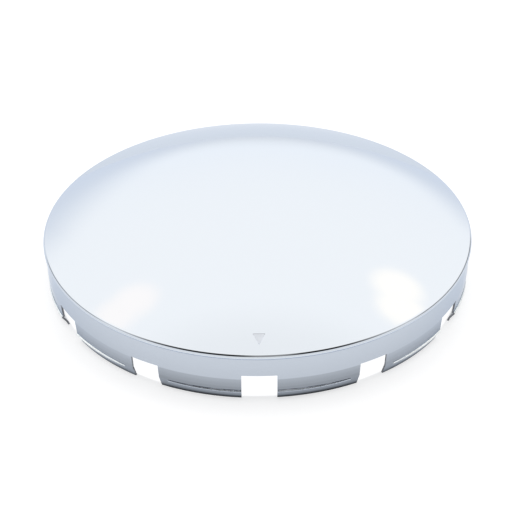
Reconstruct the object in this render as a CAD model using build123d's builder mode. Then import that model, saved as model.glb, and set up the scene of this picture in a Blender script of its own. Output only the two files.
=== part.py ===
from build123d import *

import os
from math import asin, degrees, radians, sin, sqrt

# Hub cap pressed from one disc of sheet steel: a shallow dome, a rolled rim,
# a plain band and a ring of spring tabs that snap into a wheel's centre bore.
# The axis of the cap is Z, and the tab ends stand on the plane z = 0.

# Driving dimensions of the pressing, in millimetres
sheet_thickness = 1.0
rim_diameter = 223.0  # over the rolled rim, the widest circle
rim_roll_radius = 1.6  # outside of the roll between dome and band
rim_overhang = 1.0  # rim past the band
undercut_radius = 1.0  # hollow below the rim
dome_rise = 24.5  # rim circle up to the crown
band_depth = 13.5  # rim circle down to the crease
tab_depth = 13.3  # crease down to the tab ends
crease_radius = 1.5

# Spring tabs: an almost upright neck, a kink and a lead-in that turns inward
neck_drop = 7.0  # crease down to the kink
neck_inset = 0.7  # kink inside the band
lead_in_inset = 2.4  # tab end inside the kink
kink_bend_radius = 1.5

# Notches between the tabs, wide and narrow by turns, and the deeper one at the front
notch_pairs = 6
wide_notch_width = 16.5
narrow_notch_width = 15.0
notch_rise = 0.3  # top of a notch above the crease
front_notch_width = 17.1
front_notch_rise = 2.2  # top of the front notch above the crease
tab_corner_radius = 1.5  # tab corners beside a narrow notch

# Catch pressed outward across the two tabs beside a wide notch, which cuts it open
catch_reach = 0.9  # crest outside the kink, at the notch
catch_fall = 0.7  # crest below the kink
catch_fade = 6.0  # its axis nearer to the notch, so the crest sinks away from it
catch_foot = 1.0  # lower end above the tab end
catch_margin = 3.6  # closed end to the far side of the tab
catch_crest_radius = 0.35
catch_corner_radius = 1.8

# Index mark etched in the dome above the front notch
mark_width = 5.8
mark_length = 5.7
mark_to_rim = 5.9
mark_depth = 0.1

# Heights above the tab ends and distances from the axis
front_angle = -90.0
crease_z = tab_depth
rim_z = crease_z + band_depth
crown_z = rim_z + dome_rise
kink_z = crease_z - neck_drop
rim_radius = rim_diameter / 2
band_radius = rim_radius - rim_overhang
kink_radius = band_radius - neck_inset
tab_end_radius = kink_radius - lead_in_inset
lead_in_slope = lead_in_inset / kink_z

# The dome is part of a ball, and the roll of the rim touches it from inside
roll_centre = Vector(rim_radius - rim_roll_radius, rim_z)
dome_radius = (roll_centre.X**2 + dome_rise**2 - rim_roll_radius**2) / (2 * (dome_rise - rim_roll_radius))
dome_centre = Vector(0, crown_z - dome_radius)
roll_start = roll_centre + (roll_centre - dome_centre).normalized() * rim_roll_radius

# The undercut touches the roll from outside and runs out into the band
undercut_centre_radius = band_radius + undercut_radius
undercut_drop = sqrt((rim_roll_radius + undercut_radius) ** 2 - (undercut_centre_radius - roll_centre.X) ** 2)
undercut_centre = Vector(undercut_centre_radius, rim_z - undercut_drop)
roll_end = roll_centre + (undercut_centre - roll_centre).normalized() * rim_roll_radius

# Angles of the narrow notches and of the far side of a tab, seen from a wide notch
narrow_notch_angle = front_angle + 180.0 / notch_pairs
narrow_half_angle = degrees(asin(narrow_notch_width / 2 / band_radius))
far_side_angle = 180.0 / notch_pairs - narrow_half_angle
notch_reach = 4 * (neck_inset + lead_in_inset + sheet_thickness)

# Section of the catch, with its root and its foot sunk in the sheet
root_depth = sheet_thickness / 4
foot_depth = sheet_thickness / 4
catch_root = Vector(kink_radius - root_depth, kink_z + catch_fall * root_depth / catch_reach)
catch_crest = Vector(kink_radius + catch_reach, kink_z - catch_fall)
catch_heel = Vector(tab_end_radius + lead_in_slope * catch_foot - foot_depth, catch_foot)
catch_axis = Axis((catch_fade, 0, 0), (0, 0, 1))
hollow_radius = tab_end_radius - 3 * sheet_thickness

# Outline of the catch, seen square to the notch
outline_length = 2 * (kink_radius * sin(radians(far_side_angle)) - catch_margin)
outline_height = kink_z - catch_foot + 2 * catch_fall
outline_z = (kink_z + catch_foot) / 2


# Outside of one catch: a ledge that looks up and a ramp down to the tab end
with BuildPart() as catch_outside:
    with BuildSketch(Plane.XZ) as ledge_section:
        with BuildLine():
            Polyline(catch_root, catch_crest, catch_heel, close=True)
        make_face()
        fillet(ledge_section.vertices().sort_by(Axis.X)[-1], radius=catch_crest_radius)
    revolve(axis=catch_axis)
    with BuildSketch(Plane.YZ):
        with Locations((0, outline_z)):
            RectangleRounded(outline_length, outline_height, catch_corner_radius)
    extrude(amount=rim_radius, mode=Mode.INTERSECT)

# Hollow behind it, one sheet thickness inside the outside
with BuildPart() as catch_inside:
    with BuildSketch(Plane.XZ):
        with BuildLine():
            Polyline(
                (hollow_radius, catch_root.Y),
                catch_root,
                catch_crest,
                catch_heel,
                (hollow_radius, catch_heel.Y),
                close=True,
            )
        make_face()
        offset(amount=-sheet_thickness, kind=Kind.INTERSECTION)
    revolve(axis=catch_axis)
    with BuildSketch(Plane.YZ):
        with Locations((0, outline_z)):
            RectangleRounded(outline_length, outline_height, catch_corner_radius)
        offset(amount=-sheet_thickness)
    extrude(amount=rim_radius, mode=Mode.INTERSECT)

# Triangle that points over the rim at the front notch
with BuildPart() as index_mark:
    mark_tip = rim_radius - mark_to_rim
    with BuildSketch(Plane.XY.offset(rim_z)):
        with BuildLine():
            Polyline(
                (0, -mark_tip),
                (mark_width / 2, mark_length - mark_tip),
                (-mark_width / 2, mark_length - mark_tip),
                close=True,
            )
        make_face()
    extrude(amount=dome_rise)
    with Locations((0, 0, dome_centre.Y)):
        Sphere(dome_radius - mark_depth, mode=Mode.SUBTRACT)

# The pressed sheet, turned about the axis, trimmed, notched and marked
with BuildPart() as hub_cap:
    with BuildSketch(Plane.XZ):
        with BuildLine():
            dome = TangentArc((0, crown_z), roll_start, tangent=(1, 0))
            roll = TangentArc(dome @ 1, roll_end, tangent=dome % 1)
            undercut = TangentArc(roll @ 1, (band_radius, undercut_centre.Y), tangent=roll % 1)
            FilletPolyline(
                undercut @ 1,
                (band_radius, crease_z),
                (kink_radius, kink_z),
                (tab_end_radius - lead_in_slope * sheet_thickness, -sheet_thickness),
                radius=(crease_radius, kink_bend_radius),
            )
            offset(amount=sheet_thickness, side=Side.RIGHT)
        make_face()
    revolve(axis=Axis.Z)
    split(bisect_by=Plane.XY, keep=Keep.TOP)

    with PolarLocations(band_radius, notch_pairs, start_angle=narrow_notch_angle):
        Box(notch_reach, narrow_notch_width, 2 * (crease_z + notch_rise), mode=Mode.SUBTRACT)
    tab_corners = hub_cap.edges().filter_by(GeomType.LINE).group_by(Axis.Z)[0]
    fillet(tab_corners, radius=tab_corner_radius)

    with PolarLocations(0, notch_pairs, start_angle=front_angle):
        add(catch_outside.part)
        add(catch_inside.part, mode=Mode.SUBTRACT)
    with PolarLocations(band_radius, notch_pairs, start_angle=front_angle):
        Box(notch_reach, wide_notch_width, 2 * (crease_z + notch_rise), mode=Mode.SUBTRACT)
    with PolarLocations(band_radius, 1, start_angle=front_angle):
        Box(notch_reach, front_notch_width, 2 * (crease_z + front_notch_rise), mode=Mode.SUBTRACT)
    add(index_mark.part, mode=Mode.SUBTRACT)

hub_cap.part.label = "hub_cap"
os.makedirs("parts", exist_ok=True)
export_step(hub_cap.part, "parts/hub_cap.step")
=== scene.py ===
import logging
from dataclasses import dataclass
from enum import Enum
from math import asin, atan, atan2, cos, degrees, hypot, radians, sin, sqrt, tan

import bmesh
import bpy
from mathutils import Matrix, Vector


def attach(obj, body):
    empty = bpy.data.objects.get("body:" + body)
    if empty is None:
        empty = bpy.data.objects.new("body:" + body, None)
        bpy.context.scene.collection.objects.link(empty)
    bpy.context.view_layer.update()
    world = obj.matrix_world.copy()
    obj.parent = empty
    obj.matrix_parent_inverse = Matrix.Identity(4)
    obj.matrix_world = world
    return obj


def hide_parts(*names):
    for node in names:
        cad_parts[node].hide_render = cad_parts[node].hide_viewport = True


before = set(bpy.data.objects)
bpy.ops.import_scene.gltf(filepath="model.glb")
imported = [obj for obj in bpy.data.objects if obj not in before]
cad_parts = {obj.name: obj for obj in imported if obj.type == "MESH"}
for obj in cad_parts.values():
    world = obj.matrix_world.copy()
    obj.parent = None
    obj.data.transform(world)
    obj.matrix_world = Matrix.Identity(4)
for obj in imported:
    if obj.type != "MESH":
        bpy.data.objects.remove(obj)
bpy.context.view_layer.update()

MM = 0.001  # metres
FRAME_PX = 512  # side of the photograph
ORIGIN = (0.0, 0.0, 0.0)
UP = (0.0, 0.0, 1.0)
LOG = logging.getLogger("hub_cap")

Face = bmesh.types.BMFace
Edge = bmesh.types.BMEdge
Socket = bpy.types.NodeSocket
Pair = tuple[float, float]
Colour = tuple[float, float, float, float]


def turn_of(place: Vector) -> float:
    """Angle of a place round the axis, in degrees from +X."""
    return degrees(atan2(place.y, place.x))


def radius_of(place: Vector) -> float:
    """Distance of a place from the axis."""
    return hypot(place.x, place.y)


def direction(turn: float, height: float) -> Vector:
    """Direction from the cap to a place in the studio.

    Args:
        turn: Turn from the front towards +X, in degrees.
        height: Height above the horizon, in degrees.

    Returns:
        A vector of length 1.
    """
    flat = cos(radians(height))
    return Vector((flat * sin(radians(turn)), -flat * cos(radians(turn)), sin(radians(height))))


class Wall(Enum):
    """The two sides of the pressed sheet, as the vertex layer holds them."""

    OUTSIDE = 0
    INSIDE = 1


class Finish(Enum):
    """The finishes of the cap, as its material slots hold them."""

    POLISHED = 0
    SATIN = 1
    SHEARED = 2
    ETCHED = 3


class NodeBoard:
    """Places and links the nodes of one node tree."""

    def __init__(self, tree: bpy.types.NodeTree) -> None:
        """Keeps the tree that the nodes go into."""
        self.tree = tree

    def add(
        self, kind: str, inputs: dict[str | int, object] | None = None, **settings: object
    ) -> bpy.types.Node:
        """Adds one node.

        Args:
            kind: The node's type name.
            inputs: Values or sockets for its inputs, by name or number.
            settings: The node's own properties.

        Returns:
            The new node.
        """
        node = self.tree.nodes.new(kind)
        for name, value in settings.items():
            setattr(node, name, value)
        for key, value in (inputs or {}).items():
            if isinstance(value, Socket):
                self.tree.links.new(value, node.inputs[key])
            else:
                node.inputs[key].default_value = value
        return node

    def math(self, operation: str, *values: object) -> Socket:
        """Adds a Math node for the operation and gives its result."""
        return self.add("ShaderNodeMath", dict(enumerate(values)), operation=operation).outputs[0]

    def product(self, first: object, *others: object) -> Socket:
        """Multiplies values.

        Args:
            first: The first factor.
            others: All others.

        Returns:
            The product's socket.
        """
        for other in others:
            first = self.math("MULTIPLY", first, other)
        return first

    def span(self, value: object, ends: Pair, results: Pair = (0.0, 1.0)) -> Socket:
        """Maps a value from one range to another, smoothly and within its ends.

        Args:
            value: The socket to map.
            ends: Start and end of its range.
            results: What it gives at the start and at the end.

        Returns:
            The result's socket.
        """
        low, high = ends
        to_low, to_high = results
        inputs = {"Value": value, "From Min": low, "From Max": high, "To Min": to_low, "To Max": to_high}
        return self.add("ShaderNodeMapRange", inputs, interpolation_type="SMOOTHSTEP").outputs["Result"]

    def span_mm(self, value: object, ends: Pair, results: Pair = (0.0, 1.0)) -> Socket:
        """Maps a length from a range that is given in millimetres, as span does."""
        return self.span(value, (ends[0] * MM, ends[1] * MM), results)

    def blend(self, factor: object, first: object, second: object) -> Socket:
        """Mixes two values by a factor."""
        return self.add("ShaderNodeMix", {"Factor": factor, 2: first, 3: second}).outputs[0]

    def tint(self, factor: object, first: object, second: object) -> Socket:
        """Mixes two colours by a factor."""
        return self.add("ShaderNodeMix", {"Factor": factor, 6: first, 7: second}, data_type="RGBA").outputs[2]

    def scaled(self, colour: object, factor: object) -> Socket:
        """Multiplies a colour by a value."""
        return self.add("ShaderNodeVectorMath", {0: colour, "Scale": factor}, operation="SCALE").outputs[0]

    def bump(self, height: Socket, strength: float, distance: float, **below: Socket) -> Socket:
        """Bends the surface normal.

        Args:
            height: Height of the bumps.
            strength: How much of them shows.
            distance: Their full height in metres.
            below: The normal under them, if it isn't the plain one.

        Returns:
            The bent normal.
        """
        inputs = {"Height": height, "Strength": strength, "Distance": distance, **below}
        return self.add("ShaderNodeBump", inputs).outputs["Normal"]


class PlateRipple:
    """The faint unevenness of plated sheet, shared by the finishes as one node group."""

    NAME = "plate_ripple"
    HAZE_ENDS = (0.32, 0.68)

    @classmethod
    def group(cls) -> bpy.types.NodeTree:
        """Builds the group once and gives it.

        Returns:
            A shader group with the outputs Haze, from 0 to 1, and Height.
        """
        if cls.NAME in bpy.data.node_groups:
            return bpy.data.node_groups[cls.NAME]
        tree = bpy.data.node_groups.new(cls.NAME, "ShaderNodeTree")
        for name in ("Cloud Scale", "Ripple Scale"):
            tree.interface.new_socket(name, in_out="INPUT", socket_type="NodeSocketFloat")
        for name in ("Haze", "Height"):
            tree.interface.new_socket(name, in_out="OUTPUT", socket_type="NodeSocketFloat")
        board = NodeBoard(tree)
        given = board.add("NodeGroupInput").outputs
        place = board.add("ShaderNodeTexCoord").outputs["Object"]
        clouds = {"Vector": place, "Scale": given["Cloud Scale"], "Detail": 4.0, "Roughness": 0.6}
        cloud = board.add("ShaderNodeTexNoise", clouds).outputs[0]
        ripples = {"Vector": place, "Scale": given["Ripple Scale"], "Detail": 2.0}
        ripple = board.add("ShaderNodeTexNoise", ripples).outputs[0]
        board.add("NodeGroupOutput", {"Haze": board.span(cloud, cls.HAZE_ENDS), "Height": ripple})
        return tree


class MetalBoard(NodeBoard):
    """The node board of a new metal finish, with the plate ripple on it."""

    def __init__(self, name: str, cloud_scale: float, ripple_scale: float) -> None:
        """Makes the material.

        Args:
            name: Its name.
            cloud_scale: Scale of the haze on the plate.
            ripple_scale: Scale of its unevenness.
        """
        self.material = bpy.data.materials.new(name)
        self.material.use_nodes = True
        super().__init__(self.material.node_tree)
        self.shader = self.tree.nodes["Principled BSDF"]
        self.shader.inputs["Metallic"].default_value = 1.0
        scales = {"Cloud Scale": cloud_scale, "Ripple Scale": ripple_scale}
        ripple = self.add("ShaderNodeGroup", scales, node_tree=PlateRipple.group())
        self.haze = ripple.outputs["Haze"]
        self.ripple = ripple.outputs["Height"]

    def feed(self, sockets: dict[str, Socket]) -> bpy.types.Material:
        """Links sockets to the shader.

        Args:
            sockets: The sockets, by the names of the shader's inputs.

        Returns:
            The finished material.
        """
        for name, socket in sockets.items():
            self.tree.links.new(socket, self.shader.inputs[name])
        return self.material


@dataclass(frozen=True)
class PolishedPlate:
    """Mirror chrome on the outside, rubbed where the catches were pressed, with painted shade down the wall
    and painted highlights on the catches and under the rim; lengths in millimetres.
    """

    name: str = "polished_chrome"
    colour: Colour = (0.61, 0.655, 0.71, 1.0)
    wall_colour: Colour = (0.60, 0.655, 0.735, 1.0)
    edge_tint: Colour = (0.815, 0.86, 0.93, 1.0)
    cloud_scale: float = 38.0
    ripple_scale: float = 150.0
    grain_scale: float = 1300.0
    roughness: Pair = (0.045, 0.085)
    rubbed_roughness: float = 0.38
    wall_top: Pair = (26.5, 25.0)
    # Painted shade and highlight by height: darker down the tabs, darkest at the tab ends, brighter just
    # under the rim.
    painted_wall_shading: tuple[Pair, ...] = (
        (0.9, 0.06), (1.3, 0.15), (2.0, 0.34), (3.0, 0.45), (4.0, 0.51), (6.0, 0.53), (7.5, 0.53),
        (9.0, 0.60), (12.9, 0.70), (13.4, 0.87), (24.8, 0.90), (25.8, 1.30), (26.3, 1.30), (26.8, 1.0),
    )
    tab_top: Pair = (13.4, 12.9)
    side_reach: Pair = (45.0, 60.0)
    side_painted_light: float = 0.08
    ledge_radius: Pair = (109.9, 110.0)
    ledge_foot: Pair = (5.2, 5.5)
    ledge_top: Pair = (6.8, 6.5)
    ledge_widening: float = 0.7
    painted_ledge_highlights: Pair = (1.0, 1.6)

    def build(self) -> bpy.types.Material:
        """Makes the material.

        Returns:
            The finished material.
        """
        board = MetalBoard(self.name, self.cloud_scale, self.ripple_scale)
        board.shader.inputs["Specular Tint"].default_value = self.edge_tint
        place = board.add("ShaderNodeTexCoord").outputs["Object"]
        x, y, z = board.add("ShaderNodeSeparateXYZ", {0: place}).outputs
        side = board.span_mm(board.math("ABSOLUTE", x), self.side_reach)
        ledge = self.ledge(board, (x, y, z), side)
        # Painted highlight on the catch ledges, stronger on the side tabs, blended over the painted wall
        # shading.
        bright = board.span(side, (0.0, 1.0), self.painted_ledge_highlights)
        tone = board.blend(ledge, self.painted_wall_tone(board, z, side), bright)
        plate = board.tint(board.span_mm(z, self.wall_top), self.colour, self.wall_colour)
        haze = board.span(board.haze, (0.0, 1.0), self.roughness)
        rough = board.blend(board.product(ledge, side), haze, self.rubbed_roughness)
        noise = {"Vector": place, "Scale": self.grain_scale, "Detail": 3.0, "Roughness": 0.7}
        grain = board.product(ledge, board.add("ShaderNodeTexNoise", noise).outputs[0])
        wavy = board.bump(board.ripple, strength=0.02, distance=0.0004)
        normal = board.bump(grain, strength=0.5, distance=0.0003, Normal=wavy)
        return board.feed({"Base Color": board.scaled(plate, tone), "Roughness": rough, "Normal": normal})

    def painted_wall_tone(self, board: NodeBoard, height: Socket, side: Socket) -> Socket:
        """Tone of the plating by height: painted shade down the wall, darkest at the tab ends, standing in
        for the cap's shadow that the chrome mirrors, and a painted highlight just under the rim.

        Args:
            board: Where the nodes go.
            height: Height above the tab ends.
            side: 1 on the tabs at the sides, which get a little painted light.

        Returns:
            A factor for the colour.
        """
        tone = self.painted_wall_shading[0][1]
        for (low, tone_low), (high, tone_high) in zip(self.painted_wall_shading, self.painted_wall_shading[1:]):
            tone = board.math("ADD", tone, board.span_mm(height, (low, high), (0.0, tone_high - tone_low)))
        # Painted light: the necks and lead-ins of the side tabs are a little brighter.
        lift = board.span_mm(height, self.tab_top, (0.0, self.side_painted_light))
        return board.math("MULTIPLY_ADD", side, lift, tone)

    def ledge(self, board: NodeBoard, axes: tuple[Socket, Socket, Socket], side: Socket) -> Socket:
        """Mask of the ledge of each catch, which carries a painted highlight and is rough where the press
        dragged the sheet.

        Args:
            board: Where the nodes go.
            axes: The three object coordinates.
            side: 1 on the tabs at the sides, where the rubbed and highlighted strip is broader.

        Returns:
            A mask from 0 to 1.
        """
        x, y, z = axes
        square = board.math("ADD", board.product(x, x), board.product(y, y))
        out = board.span_mm(board.math("SQRT", square), self.ledge_radius)
        foot = board.math("MULTIPLY_ADD", side, self.ledge_widening * MM, z)
        above = board.span_mm(foot, self.ledge_foot)
        return board.product(out, above, board.span_mm(z, self.ledge_top))


@dataclass(frozen=True)
class SatinPlate:
    """Thin, unpolished plating inside, with the rings that the press left."""

    name: str = "satin_chrome"
    colour: Colour = (0.52, 0.54, 0.57, 1.0)
    hazy_colour: Colour = (0.44, 0.455, 0.475, 1.0)
    cloud_scale: float = 26.0
    ripple_scale: float = 420.0
    roughness: Pair = (0.26, 0.36)
    ring_scale: float = 230.0
    ring_roughness: float = 0.06
    ring_height: float = 0.5

    def build(self) -> bpy.types.Material:
        """Makes the material.

        Returns:
            The finished material.
        """
        board = MetalBoard(self.name, self.cloud_scale, self.ripple_scale)
        place = board.add("ShaderNodeTexCoord").outputs["Object"]
        wave = {"Vector": place, "Scale": self.ring_scale, "Distortion": 1.5, "Detail": 3.0}
        wave["Detail Scale"] = 2.0
        rings = board.add("ShaderNodeTexWave", wave, wave_type="RINGS", rings_direction="Z").outputs["Fac"]
        tone = board.tint(board.haze, self.colour, self.hazy_colour)
        haze = board.span(board.haze, (0.0, 1.0), self.roughness)
        rough = board.math("MULTIPLY_ADD", rings, self.ring_roughness, haze)
        height = board.math("MULTIPLY_ADD", rings, self.ring_height, board.ripple)
        normal = board.bump(height, strength=0.12, distance=0.0003)
        return board.feed({"Base Color": tone, "Roughness": rough, "Normal": normal})


@dataclass(frozen=True)
class ShearedEdge:
    """Cut edges of the sheet: plated over the marks of the shear, so dull and streaked."""

    name: str = "sheared_edge"
    colour: Colour = (0.22, 0.23, 0.25, 1.0)
    hazy_colour: Colour = (0.13, 0.135, 0.15, 1.0)
    cloud_scale: float = 900.0
    ripple_scale: float = 1600.0
    roughness: Pair = (0.25, 0.5)

    def build(self) -> bpy.types.Material:
        """Makes the material.

        Returns:
            The finished material.
        """
        board = MetalBoard(self.name, self.cloud_scale, self.ripple_scale)
        tone = board.tint(board.haze, self.colour, self.hazy_colour)
        rough = board.span(board.haze, (0.0, 1.0), self.roughness)
        normal = board.bump(board.ripple, strength=0.35, distance=0.0002)
        return board.feed({"Base Color": tone, "Roughness": rough, "Normal": normal})


@dataclass(frozen=True)
class EtchedMark:
    """The frosted floor of the index mark."""

    name: str = "etched_mark"
    colour: Colour = (0.565, 0.60, 0.655, 1.0)
    cloud_scale: float = 700.0
    ripple_scale: float = 2600.0
    roughness: Pair = (0.3, 0.42)

    def build(self) -> bpy.types.Material:
        """Makes the material.

        Returns:
            The finished material.
        """
        board = MetalBoard(self.name, self.cloud_scale, self.ripple_scale)
        board.shader.inputs["Base Color"].default_value = self.colour
        rough = board.span(board.haze, (0.0, 1.0), self.roughness)
        normal = board.bump(board.ripple, strength=0.2, distance=0.0001)
        return board.feed({"Roughness": rough, "Normal": normal})


class SheetSweep:
    """Sweeps the thickness of a sheet, a short edge, along the path of a pressing in the XZ plane."""

    def __init__(self, bm: bmesh.types.BMesh, outside: Vector, thickness: float) -> None:
        """Starts the sweep with the sheet lying flat.

        Args:
            bm: The mesh that takes the sweep, with its layers wall and row.
            outside: Start of the path as radius and height, on the outer wall.
            thickness: Thickness of the sheet.
        """
        self.bm = bm
        self.wall = bm.verts.layers.int["wall"]
        self.row = bm.verts.layers.int["row"]
        upper = bm.verts.new((outside.x, 0.0, outside.y))
        lower = bm.verts.new((outside.x, 0.0, outside.y - thickness))
        lower[self.wall] = Wall.INSIDE.value
        self.rungs = [bm.edges.new((upper, lower))]

    def ends(self) -> tuple[bmesh.types.BMVert, bmesh.types.BMVert]:
        """Outer and inner vertex of the last rung."""
        return tuple(sorted(self.rungs[-1].verts, key=lambda vert: vert[self.wall]))

    def bend(self, centre: Vector, turn: float, steps: int) -> None:
        """Turns the sheet about a centre.

        Args:
            centre: Radius and height of the bend's centre.
            turn: Angle in degrees, positive downwards.
            steps: Number of facets.
        """
        for _ in range(steps):
            rung = self.rungs[-1]
            made = bmesh.ops.spin(
                self.bm,
                geom=[rung, *rung.verts],
                cent=(centre.x, 0.0, centre.y),
                axis=(0.0, 1.0, 0.0),
                angle=radians(turn / steps),
                steps=1,
            )
            self.keep(made["geom_last"])

    def run(self, length: float) -> None:
        """Extends the sheet straight on.

        Args:
            length: Length of the run.
        """
        outer, inner = self.ends()
        normal = (outer.co - inner.co).normalized()
        made = bmesh.ops.extrude_edge_only(self.bm, edges=[self.rungs[-1]])
        self.keep(made["geom"])
        onward = Vector((normal.z, 0.0, -normal.x))
        bmesh.ops.translate(self.bm, verts=self.rungs[-1].verts[:], vec=onward * length)

    def keep(self, made: list[object]) -> None:
        """Numbers the rung among the made elements and makes it the last one.

        Args:
            made: What the operator gave back.
        """
        last = set(self.rungs[-1].verts)
        rung = next(
            item
            for item in made
            if isinstance(item, Edge)
            and not last & set(item.verts)
            and item.verts[0][self.wall] != item.verts[1][self.wall]
        )
        for vert in rung.verts:
            vert[self.row] = len(self.rungs)
        self.rungs.append(rung)


@dataclass
class Catch:
    """Section of a catch pressed across a tab, in millimetres; guards are edges that keep a corner crisp."""

    kink: Vector
    tab_end: Vector
    reach: float = 0.9
    fall: float = 0.7
    fade: float = 6.0
    foot: float = 1.0
    foot_depth: float = 0.25
    crest_radius: float = 0.35
    margin: float = 3.6
    end_slope: float = 1.2
    crest_facets: int = 4
    root_guards: Pair = (0.15, 0.35)
    mouth_guards: Pair = (0.4, 0.2)
    corner_guards: Pair = (0.3, 0.1)

    def __post_init__(self) -> None:
        """Works out the ledge, the ramp and the plain lead-in from the sizes."""
        slope = (self.kink.x - self.tab_end.x) / self.kink.y
        self.crest = self.kink + Vector((self.reach, -self.fall))
        heel = Vector((self.tab_end.x + slope * self.foot - self.foot_depth, self.foot))
        self.ledge = (self.crest - self.kink).normalized()
        self.ramp = (heel - self.crest).normalized()
        self.plain = (self.tab_end - self.kink).normalized()

    def outer_points(self) -> list[Vector]:
        """Points of the outer wall from the kink to the foot.

        Returns:
            Kink, ledge, crest and ramp as radius and height.
        """
        opening = (-self.ledge).angle(self.ramp)
        tangent = self.crest_radius / tan(opening / 2)
        start = self.crest - self.ledge * tangent
        centre = start + Vector((self.ledge.y, -self.ledge.x)) * self.crest_radius
        arm = start - centre
        turn = radians(180.0) - opening
        facets = self.crest_facets
        crest = [centre + Matrix.Rotation(-turn * step / facets, 2) @ arm for step in range(facets + 1)]
        root = [self.kink + self.ledge * guard for guard in self.root_guards]
        run_out = self.meet(self.crest, self.ramp, self.tab_end, self.plain)
        return [self.kink, *root, *crest, crest[-1].lerp(run_out, 0.5), run_out]

    def inner_points(self, sheet: float) -> list[Vector]:
        """Points of the hollow behind the catch, one sheet thickness inside.

        Args:
            sheet: Thickness of the sheet.

        Returns:
            As many points as on the outer wall, from above the mouth to the foot.
        """
        below = Vector((self.ledge.y, -self.ledge.x)) * sheet
        inward = Vector((self.ramp.y, -self.ramp.x)) * sheet
        lead_in = self.tab_end + Vector((self.plain.y, -self.plain.x)) * sheet
        corner = self.meet(self.crest + below, self.ledge, self.crest + inward, self.ramp)
        mouth = self.meet(corner, self.ledge, lead_in, self.plain)
        foot = self.meet(corner, self.ramp, lead_in, self.plain)
        far, near = self.corner_guards
        return [
            *(mouth - self.plain * guard for guard in self.mouth_guards),
            mouth,
            corner - self.ledge * far,
            corner - self.ledge * near,
            corner,
            corner + self.ramp * near,
            corner + self.ramp * far,
            corner.lerp(foot, 0.5),
            foot,
        ]

    def meet(self, start: Vector, along: Vector, other: Vector, other_along: Vector) -> Vector:
        """Crossing of two lines in the section.

        Args:
            start: A point of the first line.
            along: Its direction.
            other: A point of the second line.
            other_along: Its direction.

        Returns:
            The crossing.
        """
        across = other - start
        depth = along.x * other_along.y - along.y * other_along.x
        return start + along * ((across.x * other_along.y - across.y * other_along.x) / depth)


@dataclass(frozen=True)
class Facets:
    """How many flat steps stand for each round of the cap."""

    dome: int = 30
    roll: int = 20
    undercut: int = 8
    crease: int = 2
    kink: int = 4
    notch: int = 4
    catch: int = 20
    catch_end: int = 7
    tab_corner: int = 6
    edge: int = 2


@dataclass(frozen=True)
class Slack:
    """How far off its place a vertex may lie and still count, in millimetres, and in degrees for turns."""

    turn: float = 0.001
    side_turn: float = 0.3
    cut: float = 0.001
    merge: float = 0.002
    bevel_merge: float = 0.003
    tab_end: float = 0.01
    row: float = 0.1
    axis: float = 1.0


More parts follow.
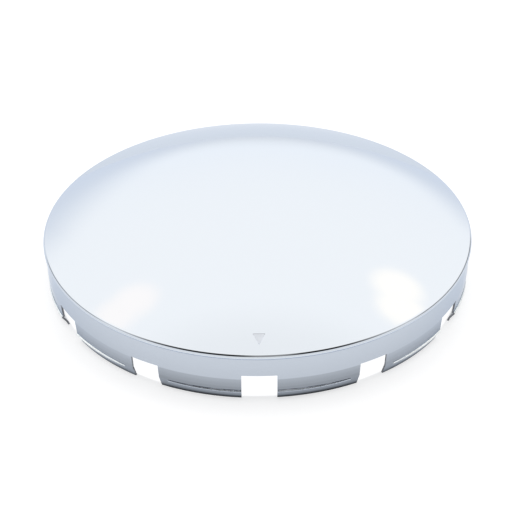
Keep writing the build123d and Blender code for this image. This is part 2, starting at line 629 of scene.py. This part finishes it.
@dataclass
class HubCap:
    """The cap: one pressed sheet with a dome, a rolled rim, a band and spring tabs, in millimetres."""

    sheet: float = 1.0
    rim_radius: float = 111.5
    roll_radius: float = 1.6
    overhang: float = 1.0
    undercut_radius: float = 1.0
    rise: float = 24.5
    rim_z: float = 26.8
    crease_z: float = 13.3
    kink_z: float = 6.3
    neck_inset: float = 0.7
    lead_in_inset: float = 2.4
    bend_radius: float = 1.5
    notch_pairs: int = 6
    wide_notch: float = 16.5
    narrow_notch: float = 15.0
    notch_rise: float = 0.3
    front_notch: float = 17.1
    front_notch_rise: float = 2.2
    tab_corner: float = 1.5
    mark_width: float = 5.8
    mark_length: float = 5.7
    mark_to_rim: float = 5.9
    mark_depth: float = 0.1
    mark_slope: float = 0.12
    edge_round: float = 0.22
    front_turn: float = -90.0
    sharp_angle: float = 32.0
    guard: float = 0.2
    dome_guard: float = 0.3
    lead_in_runs: tuple[float, ...] = (0.2, 0.15, 0.15, 0.15, 0.15, 2.0, 2.2)
    facets: Facets = Facets()
    slack: Slack = Slack()

    def __post_init__(self) -> None:
        """Works out what follows from the sizes, and starts the mesh."""
        self.bm = bmesh.new()
        self.wall = self.bm.verts.layers.int.new("wall")
        self.row = self.bm.verts.layers.int.new("row")
        self.band = self.rim_radius - self.overhang
        self.kink = Vector((self.band - self.neck_inset, self.kink_z))
        self.tab_end = Vector((self.kink.x - self.lead_in_inset, 0.0))
        self.crown_z = self.rim_z + self.rise
        self.roll_centre = Vector((self.rim_radius - self.roll_radius, self.rim_z))
        across = self.roll_centre.x**2 + self.rise**2 - self.roll_radius**2
        self.dome_radius = across / (2 * (self.rise - self.roll_radius))
        self.dome_centre = Vector((0.0, self.crown_z - self.dome_radius))
        self.half_pitch = 180.0 / self.notch_pairs
        self.wide_half = degrees(asin(self.wide_notch / 2 / self.band))
        self.narrow_half = degrees(asin(self.narrow_notch / 2 / self.band))
        self.tab_middle = (self.half_pitch + self.wide_half - self.narrow_half) / 2
        self.catch = Catch(self.kink, self.tab_end)
        self.tab_far = self.half_pitch - self.narrow_half
        self.catch_end = degrees(asin(sin(radians(self.tab_far)) - self.catch.margin / self.kink.x))
        self.slope_turn = degrees(self.catch.end_slope / self.kink.x)

    def build(self) -> bpy.types.Object:
        """Models the cap in place of its CAD node.

        Returns:
            The dressed cap.
        """
        kink_row = self.sweep_section()
        self.sweep_half_pitch()
        self.press_catch(kink_row)
        self.square_tab_sides()
        self.cut_notches()
        self.round_tab_corner()
        self.repeat()
        self.deepen_front_notch()
        self.break_edges()
        mark = self.etch_mark()
        self.choose_finishes(mark)
        bmesh.ops.scale(self.bm, vec=(MM, MM, MM), verts=self.bm.verts)
        mesh = bpy.data.meshes.new("hub_cap_shell")
        self.bm.to_mesh(mesh)
        self.bm.free()
        cap = bpy.data.objects.new("hub_cap_shell", mesh)
        bpy.context.scene.collection.objects.link(cap)
        self.dress(cap)
        return cap

    def sweep_section(self) -> int:
        """Sweeps the sheet from the crown to a tab end, in the plane of a wide notch.

        Returns:
            The number of the row where the kink starts.
        """
        sweep = SheetSweep(self.bm, Vector((0.0, self.crown_z)), self.sheet)
        out = self.roll_centre - self.dome_centre
        dome_turn = degrees(atan2(out.x, out.y))
        last_turn = degrees(self.dome_guard / self.dome_radius)
        sweep.bend(self.dome_centre, dome_turn - last_turn, self.facets.dome)
        sweep.bend(self.dome_centre, last_turn, 1)
        undercut_x = self.band + self.undercut_radius
        lever = self.roll_radius + self.undercut_radius
        drop = sqrt(lever**2 - (undercut_x - self.roll_centre.x) ** 2)
        roll_turn = degrees(atan2(undercut_x - self.roll_centre.x, -drop)) - dome_turn
        sweep.bend(self.roll_centre, roll_turn, self.facets.roll)
        undercut = Vector((undercut_x, self.rim_z - drop))
        sweep.bend(undercut, 90.0 - dome_turn - roll_turn, self.facets.undercut)
        crease_turn = degrees(atan(self.neck_inset / (self.crease_z - self.kink_z)))
        kink_turn = degrees(atan(self.lead_in_inset / self.kink_z)) - crease_turn
        crease_arm = self.bend_radius * tan(radians(crease_turn / 2))
        kink_arm = self.bend_radius * tan(radians(kink_turn / 2))
        front_top = self.crease_z + self.front_notch_rise
        sweep.run(self.guard)
        sweep.run(undercut.y - self.guard - front_top)
        sweep.run(self.front_notch_rise - self.notch_rise)
        sweep.run(self.notch_rise - crease_arm)
        self.fold(sweep, crease_turn, self.facets.crease)
        neck = hypot(self.neck_inset, self.crease_z - self.kink_z)
        sweep.run(self.guard)
        sweep.run(neck - crease_arm - kink_arm - 2 * self.guard)
        sweep.run(self.guard)
        kink_row = len(sweep.rungs) - 1
        self.fold(sweep, kink_turn, self.facets.kink)
        lead_in = hypot(self.lead_in_inset, self.kink_z)
        for length in self.lead_in_runs:
            sweep.run(length)
        sweep.run(lead_in - kink_arm - sum(self.lead_in_runs))
        inner = sweep.ends()[1]
        inner.co.x -= inner.co.z * self.lead_in_inset / self.kink_z
        inner.co.z = 0.0
        bmesh.ops.delete(self.bm, geom=sweep.rungs[:-1], context="EDGES")
        return kink_row

    def fold(self, sweep: SheetSweep, turn: float, steps: int) -> None:
        """Bends the sheet inward by the bend radius.

        Args:
            sweep: The sweep to go on with.
            turn: Angle in degrees.
            steps: Number of facets.
        """
        outer, inner = sweep.ends()
        normal = (outer.co - inner.co).normalized()
        centre = outer.co - normal * self.bend_radius
        sweep.bend(Vector((centre.x, centre.z)), turn, steps)

    def sweep_half_pitch(self) -> None:
        """Spins the section from the middle of a wide notch to the middle of a narrow one."""
        outline = [*self.bm.verts, *self.bm.edges]
        spans = (
            (self.wide_half, self.facets.notch),
            (self.catch_end - self.slope_turn - self.wide_half, self.facets.catch),
            (self.slope_turn, self.facets.catch_end),
            (self.tab_far - self.catch_end, 1),
            (self.narrow_half, self.facets.notch),
        )
        for turn, steps in spans:
            angle = radians(turn)
            made = bmesh.ops.spin(self.bm, geom=outline, cent=ORIGIN, axis=UP, angle=angle, steps=steps)
            outline = made["geom_last"]
        bmesh.ops.remove_doubles(self.bm, verts=self.bm.verts, dist=self.slack.merge)

    def press_catch(self, kink_row: int) -> None:
        """Presses the catch out of the lead-in of the tab.

        Args:
            kink_row: Row where the kink starts.
        """
        targets = {
            Wall.OUTSIDE.value: self.catch.outer_points(),
            Wall.INSIDE.value: self.catch.inner_points(self.sheet),
        }
        first_row = kink_row + self.facets.kink // 2
        for vert in self.bm.verts:
            points = targets[vert[self.wall]]
            step = vert[self.row] - first_row
            turn = turn_of(vert.co)
            inside = self.catch_end - turn
            if inside <= 0.0 or not 0 <= step < len(points):
                continue
            share = min(inside / self.slope_turn, 1.0)
            share = share * share * (3.0 - 2.0 * share)
            radius = radius_of(vert.co)
            sunk = Vector((self.catch.fade * (1.0 - cos(radians(turn))), 0.0))
            place = Vector((radius, vert.co.z)).lerp(points[step] - sunk, share)
            if vert[self.wall] == Wall.OUTSIDE.value:
                place.x = max(place.x, radius)
            vert.co = (place.x * cos(radians(turn)), place.x * sin(radians(turn)), place.y)

    def square_tab_sides(self) -> None:
        """Moves the sides of the tab onto the straight cuts of the notches."""
        cuts = (
            (0.0, self.wide_half, self.wide_notch / 2),
            (self.half_pitch, -self.narrow_half, -self.narrow_notch / 2),
        )
        top = self.crease_z + self.notch_rise
        for middle, half, offset in cuts:
            for vert in self.bm.verts:
                off_side = abs(turn_of(vert.co) - middle - half)
                if off_side < self.slack.turn and vert.co.z < top + self.slack.row:
                    radius = radius_of(vert.co)
                    moved = radians(middle) + asin(offset / radius)
                    vert.co.x = radius * cos(moved)
                    vert.co.y = radius * sin(moved)

    def cut_notches(self) -> None:
        """Takes out both notches and closes the cut edges of the sheet."""
        gone = []
        for face in self.bm.faces:
            middle = face.calc_center_median()
            turn = turn_of(middle)
            between = turn < self.wide_half or turn > self.tab_far
            if between and middle.z < self.crease_z + self.notch_rise:
                gone.append(face)
        bmesh.ops.delete(self.bm, geom=gone, context="FACES")
        sides: dict[bool, list[Edge]] = {True: [], False: []}
        for edge in self.bm.edges:
            turns = [turn_of(vert.co) for vert in edge.verts]
            on_plane = max(turns) < self.slack.turn or min(turns) > self.half_pitch - self.slack.turn
            same_wall = edge.verts[0][self.wall] == edge.verts[1][self.wall]
            at_axis = min(radius_of(vert.co) for vert in edge.verts) < self.slack.axis
            if len(edge.link_faces) == 1 and same_wall and not on_plane and not at_axis:
                sides[turns[0] < self.tab_middle].append(edge)
        for chain in sides.values():
            bmesh.ops.bridge_loops(self.bm, edges=chain)

    def round_tab_corner(self) -> None:
        """Rounds the corner of the tab beside the narrow notch."""
        corners = []
        for edge in self.bm.edges:
            first, second = edge.verts
            across = first[self.wall] != second[self.wall]
            low = max(first.co.z, second.co.z) < self.slack.tab_end
            beside = abs(turn_of(first.co) - self.tab_far) < self.slack.side_turn
            if across and low and beside:
                corners.append(edge)
        self.soften(corners, self.tab_corner, self.facets.tab_corner)

    def soften(self, edges: list[Edge], width: float, facets: int) -> None:
        """Rounds edges off.

        Args:
            edges: The edges.
            width: How far in the round starts.
            facets: Number of its facets.
        """
        bmesh.ops.bevel(
            self.bm,
            geom=edges,
            offset=width,
            offset_type="OFFSET",
            segments=facets,
            profile=0.5,
            affect="EDGES",
            clamp_overlap=True,
            material=-1,
        )

    def repeat(self) -> None:
        """Mirrors the half pitch, spins copies of it round the axis and turns a wide notch to the front."""
        bmesh.ops.mirror(self.bm, geom=self.everything(), axis="Y", merge_dist=0.0)
        bmesh.ops.spin(
            self.bm,
            geom=self.everything(),
            cent=ORIGIN,
            axis=UP,
            angle=radians(360.0 - 2 * self.half_pitch),
            steps=self.notch_pairs - 1,
            use_duplicate=True,
        )
        bmesh.ops.remove_doubles(self.bm, verts=self.bm.verts, dist=self.slack.merge)
        to_front = Matrix.Rotation(radians(self.front_turn), 3, "Z")
        bmesh.ops.rotate(self.bm, verts=self.bm.verts, cent=ORIGIN, matrix=to_front)
        bmesh.ops.recalc_face_normals(self.bm, faces=self.bm.faces)

    def everything(self) -> list[object]:
        """All vertices, edges and faces of the mesh."""
        return [*self.bm.verts, *self.bm.edges, *self.bm.faces]

    def deepen_front_notch(self) -> None:
        """Cuts the notch under the index mark wider and higher than the others."""
        half = self.front_notch / 2
        top = self.crease_z + self.front_notch_rise
        for side in (-1.0, 1.0):
            near = self.wall_faces(2 * half, top + self.sheet)
            self.split_faces(near, Vector((side * half, 0.0, 0.0)), Vector((1.0, 0.0, 0.0)))
        bmesh.ops.delete(self.bm, geom=self.wall_faces(half, top), context="FACES")
        open_edges = [edge for edge in self.bm.edges if len(edge.link_faces) == 1]
        rims = [edge for edge in open_edges if edge.verts[0][self.wall] == edge.verts[1][self.wall]]
        bmesh.ops.bridge_loops(self.bm, edges=rims)
        bmesh.ops.recalc_face_normals(self.bm, faces=self.bm.faces)

    def split_faces(self, faces: list[Face], place: Vector, normal: Vector) -> None:
        """Splits faces along a plane.

        Args:
            faces: The faces.
            place: A point of the plane.
            normal: The plane's normal.
        """
        geom = {item for face in faces for item in (face, *face.edges, *face.verts)}
        bmesh.ops.bisect_plane(self.bm, geom=list(geom), dist=self.slack.cut, plane_co=place, plane_no=normal)

    def wall_faces(self, reach: float, top: float) -> list[Face]:
        """Faces of the band and the tabs round the front notch.

        Args:
            reach: How far from the middle of the notch they may lie.
            top: How high they may lie.

        Returns:
            The faces.
        """
        found = []
        for face in self.bm.faces:
            middle = face.calc_center_median()
            if middle.y < 0.0 and abs(middle.x) < reach and middle.z < top:
                found.append(face)
        return found

    def break_edges(self) -> None:
        """Takes the sharpness off the cut edges."""
        sharp = []
        for edge in self.bm.edges:
            cut = [len({vert[self.wall] for vert in face.verts}) == 2 for face in edge.link_faces]
            if len(cut) == 2 and cut[0] != cut[1]:
                sharp.append(edge)
        self.soften(sharp, self.edge_round, self.facets.edge)
        bmesh.ops.remove_doubles(self.bm, verts=self.bm.verts, dist=self.slack.bevel_merge)
        bmesh.ops.recalc_face_normals(self.bm, faces=self.bm.faces)

    def etch_mark(self) -> set[Face]:
        """Sinks the triangle that points over the rim at the front notch.

        Returns:
            The faces of its floor.
        """
        tip = Vector((0.0, self.mark_to_rim - self.rim_radius, 0.0))
        right = tip + Vector((self.mark_width / 2, self.mark_length, 0.0))
        left = tip + Vector((-self.mark_width / 2, self.mark_length, 0.0))
        sides = [(tip, right), (right, left), (left, tip)]
        middle = (tip + right + left) / 3
        for start, end in sides:
            near = self.dome_faces(middle, self.mark_length)
            self.split_faces(near, start, (end - start).cross(Vector(UP)).normalized())
        inside = []
        for face in self.dome_faces(middle, self.mark_length):
            spot = face.calc_center_median()
            if all((end - start).cross(spot - start).z > 0.0 for start, end in sides):
                inside.append(face)
        bmesh.ops.inset_region(
            self.bm,
            faces=inside,
            thickness=self.mark_slope,
            depth=-self.mark_depth,
            use_boundary=True,
            use_even_offset=True,
        )
        return set(inside)

    def dome_faces(self, middle: Vector, reach: float) -> list[Face]:
        """Outer faces of the dome near a point.

        Args:
            middle: The point, seen from above.
            reach: How far from it the faces may lie.

        Returns:
            The faces.
        """
        return [
            face
            for face in self.bm.faces
            if all(vert[self.wall] == Wall.OUTSIDE.value for vert in face.verts)
            and face.calc_center_median().z > self.rim_z + self.roll_radius
            and (face.calc_center_median().xy - middle.xy).length < reach
        ]

    def choose_finishes(self, mark: set[Face]) -> None:
        """Gives each face its finish and marks the creases that stay sharp.

        Args:
            mark: The floor of the index mark.
        """
        for face in self.bm.faces:
            walls = {vert[self.wall] for vert in face.verts}
            finish = Finish.SHEARED if len(walls) == 2 else Finish(walls.pop())
            face.material_index = Finish.ETCHED.value if face in mark else finish.value
            face.smooth = True
        for edge in self.bm.edges:
            marked = {face in mark for face in edge.link_faces}
            edge.smooth = edge.calc_face_angle(0.0) < radians(self.sharp_angle) and len(marked) == 1

    def dress(self, cap: bpy.types.Object) -> None:
        """Puts the finishes on the cap and sets it on its frame.

        Args:
            cap: The object that holds the mesh.
        """
        for finish in (PolishedPlate(), SatinPlate(), ShearedEdge(), EtchedMark()):
            cap.data.materials.append(finish.build())
        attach(cap, "root")
        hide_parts("hub_cap")


@dataclass
class StudioFloor:
    """A plain pale floor that takes the shadow, with painted light under the cap; lengths in metres unless
    the name says millimetres.
    """

    half_width: float = 12.0
    gap_mm: float = 0.05
    colour: Colour = (0.50, 0.51, 0.525, 1.0)
    roughness: float = 0.9
    lift: float = 0.68
    mirrored: float = 0.905
    # Painted light: the floor's glow under the cap, in the cap's shade.
    painted_light_under_cap: float = 0.95
    cap_edge_mm: Pair = (105.0, 106.6)
    far: Pair = (0.4, 1.5)
    far_lift: float = 0.08

    def build(self) -> bpy.types.Object:
        """Lays the floor just under the tab ends.

        Returns:
            The floor.
        """
        bm = bmesh.new()
        bmesh.ops.create_grid(bm, x_segments=4, y_segments=4, size=self.half_width)
        bmesh.ops.translate(bm, verts=bm.verts, vec=(0.0, 0.0, -self.gap_mm * MM))
        mesh = bpy.data.meshes.new("studio_floor")
        bm.to_mesh(mesh)
        bm.free()
        floor = bpy.data.objects.new("studio_floor", mesh)
        bpy.context.scene.collection.objects.link(floor)
        mesh.materials.append(self.material())
        return floor

    def material(self) -> bpy.types.Material:
        """Pale paint, lifted towards white where it is seen, with painted light below the cap, where the
        floor lies in the cap's shade.

        Returns:
            The floor's material.
        """
        material = bpy.data.materials.new("pale_floor")
        material.use_nodes = True
        board = NodeBoard(material.node_tree)
        shader = material.node_tree.nodes["Principled BSDF"]
        shader.inputs["Base Color"].default_value = self.colour
        shader.inputs["Roughness"].default_value = self.roughness
        shader.inputs["Specular IOR Level"].default_value = 0.0
        shader.inputs["Emission Color"].default_value = (1.0, 1.0, 1.0, 1.0)
        path = board.add("ShaderNodeLightPath").outputs
        bent = board.math("MAXIMUM", path["Is Glossy Ray"], path["Is Transmission Ray"])
        seen = board.math("MAXIMUM", path["Is Camera Ray"], board.product(bent, self.mirrored))
        place = board.add("ShaderNodeTexCoord").outputs["Object"]
        radius = board.add("ShaderNodeVectorMath", {0: place}, operation="LENGTH").outputs["Value"]
        # Painted light under the cap, where the floor lies in its shade; the even lift outside.
        near = board.span_mm(radius, self.cap_edge_mm, (self.painted_light_under_cap, self.lift))
        far = board.span(radius, self.far, (0.0, self.far_lift))
        light = board.math("ADD", near, board.product(far, path["Is Camera Ray"]))
        material.node_tree.links.new(board.product(seen, light), shader.inputs["Emission Strength"])
        return material


@dataclass(frozen=True)
class Lamp:
    """A soft lamp: turn from the front towards +X and height of its two ends in degrees, and its glow."""

    ends: tuple[Pair, Pair]
    glow: tuple[float, float, float]


class RayBoard(NodeBoard):
    """The node board of the studio's light, with the direction of the ray that asks for it."""

    def __init__(self, world: bpy.types.World) -> None:
        """Splits the direction into its three parts.

        Args:
            world: The world whose nodes these are.
        """
        super().__init__(world.node_tree)
        self.toward = self.add("ShaderNodeTexCoord").outputs["Generated"]
        self.axes = tuple(self.add("ShaderNodeSeparateXYZ", {0: self.toward}).outputs)

    def nearness(self, turn: float, height: float) -> Socket:
        """Cosine of the angle between the ray and a direction.

        Args:
            turn: Turn of the direction from the front towards +X, in degrees.
            height: Its height above the horizon, in degrees.

        Returns:
            The cosine.
        """
        inputs = {0: self.toward, 1: direction(turn, height)}
        return self.add("ShaderNodeVectorMath", inputs, operation="DOT_PRODUCT").outputs["Value"]

    def spot(self, nearness: Socket, edge: Pair, results: Pair = (0.0, 1.0)) -> Socket:
        """Maps a nearness over the soft edge of a spot, which is given in degrees from its middle."""
        return self.span(nearness, (cos(radians(edge[0])), cos(radians(edge[1]))), results)


@dataclass(frozen=True)
class Skyline:
    """Where the bright roof of the tent starts: higher to the sides, and softer on the left."""

    slope: float = 0.85
    start: float = -0.165
    roundness: float = 0.01
    top: float = 0.25
    lean: float = -0.08
    blend: Pair = (-0.06, 0.15)
    left: Pair = (0.05, -0.35)
    left_slack: float = 0.65

    def share(self, board: RayBoard) -> Socket:
        """Share of the roof in a ray's light.

        Args:
            board: Where the nodes go.

        Returns:
            0 near the horizon, 1 above.
        """
        x, _, z = board.axes
        sideways = board.math("SQRT", board.math("MULTIPLY_ADD", x, x, self.roundness))
        level = board.math("MINIMUM", board.math("MULTIPLY_ADD", sideways, self.slope, self.start), self.top)
        level = board.math("MULTIPLY_ADD", x, self.lean, level)
        slack = board.span(x, self.left, (1.0, self.left_slack))
        return board.span(board.product(board.math("SUBTRACT", z, level), slack), self.blend)


@dataclass(frozen=True)
class FrontScreens:
    """Dark screens on both sides of the camera, which draw the line along the rim."""

    slant: float = -0.35
    near: Pair = (-0.2, -0.5)
    flare: float = 0.6
    width: Pair = (1.2, 0.99)
    foot: Pair = (0.10, 0.31)
    level: float = 0.05
    gap_middle: float = 0.08
    gap_edge: Pair = (0.24, 0.08)
    gap_level: float = 0.5
    wing_edge: Pair = (0.50, 0.80)
    wing_lift: float = 0.3
    lip_edge: Pair = (0.06, -0.08)
    lip_level: float = 1.1

    def factor(self, board: RayBoard) -> Socket:
        """Share of the light that is left.

        Args:
            board: Where the nodes go.

        Returns:
            A factor for the light.
        """
        x, y, z = board.axes
        aside = board.math("ABSOLUTE", x)
        depth = board.math("MULTIPLY_ADD", aside, self.slant, y)
        width = board.math("MULTIPLY_ADD", z, self.flare, aside)
        screen = board.product(
            board.span(depth, self.near), board.span(width, self.width), board.span(z, self.foot)
        )
        off_gap = board.math("ABSOLUTE", board.math("SUBTRACT", x, self.gap_middle))
        dark = board.span(off_gap, self.gap_edge, (self.level, self.gap_level))
        dark = board.math("ADD", dark, board.span(aside, self.wing_edge, (0.0, self.wing_lift)))
        return board.blend(screen, board.span(depth, self.lip_edge, (1.0, self.lip_level)), dark)


@dataclass(frozen=True)
class SideStrips:
    """Low dark strips to the left and right, which carry the rim's line on to the sides."""

    front: Pair = (-0.25, 0.0)
    reach: Pair = (0.5, 0.62)
    foot: Pair = (0.0, 0.08)
    top: Pair = (0.40, 0.30)
    lean: float = -0.1
    end: Pair = (0.80, 0.66)
    sides: Pair = (-0.3, 0.3)
    levels: Pair = (0.40, 0.28)

    def factor(self, board: RayBoard) -> Socket:
        """Share of the light that is left.

        Args:
            board: Where the nodes go.

        Returns:
            A factor for the light.
        """
        x, y, z = board.axes
        far = board.math("MULTIPLY_ADD", x, self.lean, y)
        strip = board.product(
            board.span(y, self.front),
            board.span(board.math("ABSOLUTE", x), self.reach),
            board.span(z, self.foot),
            board.span(z, self.top),
            board.span(far, self.end),
        )
        return board.blend(strip, 1.0, board.span(x, self.sides, self.levels))


@dataclass
class LightTent:
    """Soft light from all round, bright above and greyer below, with dark screens; angles in degrees."""

    above: tuple[float, float, float] = (1.405, 1.375, 1.34)
    horizon: Colour = (1.06, 1.08, 1.13, 1.0)
    lamps: tuple[Lamp, Lamp] = (
        Lamp(((-136.0, 55.0), (-129.5, 54.0)), (0.17, 0.08, 0.02)),
        Lamp(((138.0, 49.5), (130.5, 53.0)), (0.28, 0.18, 0.06)),
    )
    lamp_edge: Pair = (6.5, 1.0)
    roof_aim: Pair = (180.0, 60.0)
    roof_edge: Pair = (68.0, 50.0)
    roof_low: float = 0.60
    front_aim: Pair = (0.0, 50.0)
    front_edge: Pair = (62.0, 46.0)
    front_low: float = 0.93
    skyline: Skyline = Skyline()
    screens: FrontScreens = FrontScreens()
    strips: SideStrips = SideStrips()

    def build(self) -> bpy.types.World:
        """Makes the world and sets it.

        Returns:
            The world.
        """
        world = bpy.data.worlds.new("light_tent")
        world.use_nodes = True
        board = RayBoard(world)
        roof = board.spot(board.nearness(*self.roof_aim), self.roof_edge, (self.roof_low, 1.0))
        sky = board.tint(self.skyline.share(board), self.horizon, board.scaled(self.above, roof))
        front = board.spot(board.nearness(*self.front_aim), self.front_edge, (1.0, self.front_low))
        level = board.product(front, self.screens.factor(board), self.strips.factor(board))
        total = board.scaled(sky, level)
        for lamp in self.lamps:
            near = board.math("MAXIMUM", *(board.nearness(*end) for end in lamp.ends))
            glow = board.scaled(lamp.glow, board.spot(near, self.lamp_edge))
            total = board.add("ShaderNodeVectorMath", {0: total, 1: glow}, operation="ADD").outputs[0]
        background = world.node_tree.nodes["Background"]
        world.node_tree.links.new(total, background.inputs["Color"])
        bpy.context.scene.world = world
        return world


@dataclass
class StudioCamera:
    """The camera at the photograph's viewing angle; lengths in metres, angles in degrees."""

    pivot: tuple[float, float, float] = (0.0, 0.0, 26.8 * MM)
    distance: float = 870.5 * MM
    elevation: float = 32.85
    turn: float = -0.2
    roll: float = -0.44
    focal_px: float = 1662.5
    pivot_px: Pair = (257.6, 229.1)
    sensor_mm: float = 36.0
    clip: Pair = (0.05, 60.0)

    def build(self) -> bpy.types.Object:
        """Makes the camera and sets it as the scene's own.

        Returns:
            The camera.
        """
        data = bpy.data.cameras.new("studio_camera")
        data.sensor_width = self.sensor_mm
        data.lens = self.focal_px * self.sensor_mm / FRAME_PX
        data.clip_start, data.clip_end = self.clip
        camera = bpy.data.objects.new("studio_camera", data)
        bpy.context.scene.collection.objects.link(camera)
        back = direction(self.turn, self.elevation)
        level = (-back).to_track_quat("-Z", "Y").to_matrix()
        right = atan((self.pivot_px[0] - FRAME_PX / 2) / self.focal_px)
        up = atan((FRAME_PX / 2 - self.pivot_px[1]) / self.focal_px)
        roll = Matrix.Rotation(radians(self.roll), 3, "Z")
        aim = Matrix.Rotation(right, 3, "Y") @ Matrix.Rotation(-up, 3, "X") @ roll
        place = Matrix.Translation(Vector(self.pivot) + back * self.distance)
        camera.matrix_world = place @ (level @ aim).to_4x4()
        bpy.context.scene.camera = camera
        return camera


def write_sizes() -> None:
    """Updates the view layer."""
    bpy.context.view_layer.update()


def main() -> None:
    """Builds the cap and its stage, and reports each piece."""
    logging.basicConfig(level=logging.INFO, format="%(name)s: %(message)s")
    bpy.context.scene.view_settings.view_transform = "Standard"
    cap = HubCap().build()
    LOG.info("%s: %d faces", cap.name, len(cap.data.polygons))
    floor = StudioFloor().build()
    LOG.info("%s: laid", floor.name)
    world = LightTent().build()
    LOG.info("%s: lit", world.name)
    camera = StudioCamera().build()
    LOG.info("%s: lens %.1f mm", camera.name, camera.data.lens)
    write_sizes()


if __name__ == "__main__":
    main()
